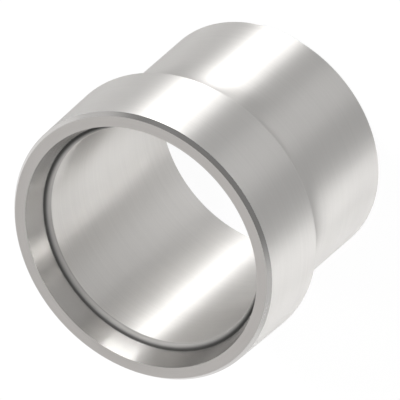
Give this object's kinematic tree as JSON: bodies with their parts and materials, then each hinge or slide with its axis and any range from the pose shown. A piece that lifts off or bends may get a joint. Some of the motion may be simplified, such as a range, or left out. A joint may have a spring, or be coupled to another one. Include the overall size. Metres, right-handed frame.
{
  "type": "flare tube sleeve",
  "caption": "Turned steel ring that backs up a flared tube: plain tail, wider collar with a sloped rear shoulder, and a tapered mouth that leads through a rounded throat to a straight bore.",
  "frame": {"origin": "centre of the tail's end face, on which the sleeve stands", "axes": "+Z along the bore to the flare end; X and Y are any two square directions across it"},
  "size_m": [0.024, 0.024, 0.02],
  "materials": {
    "sleeve_steel": "bright turned steel with a fine circumferential finish and soft axial reflections"
  },
  "bodies": {
    "root": {"sleeve": "sleeve_steel"}
  },
  "joints": []
}
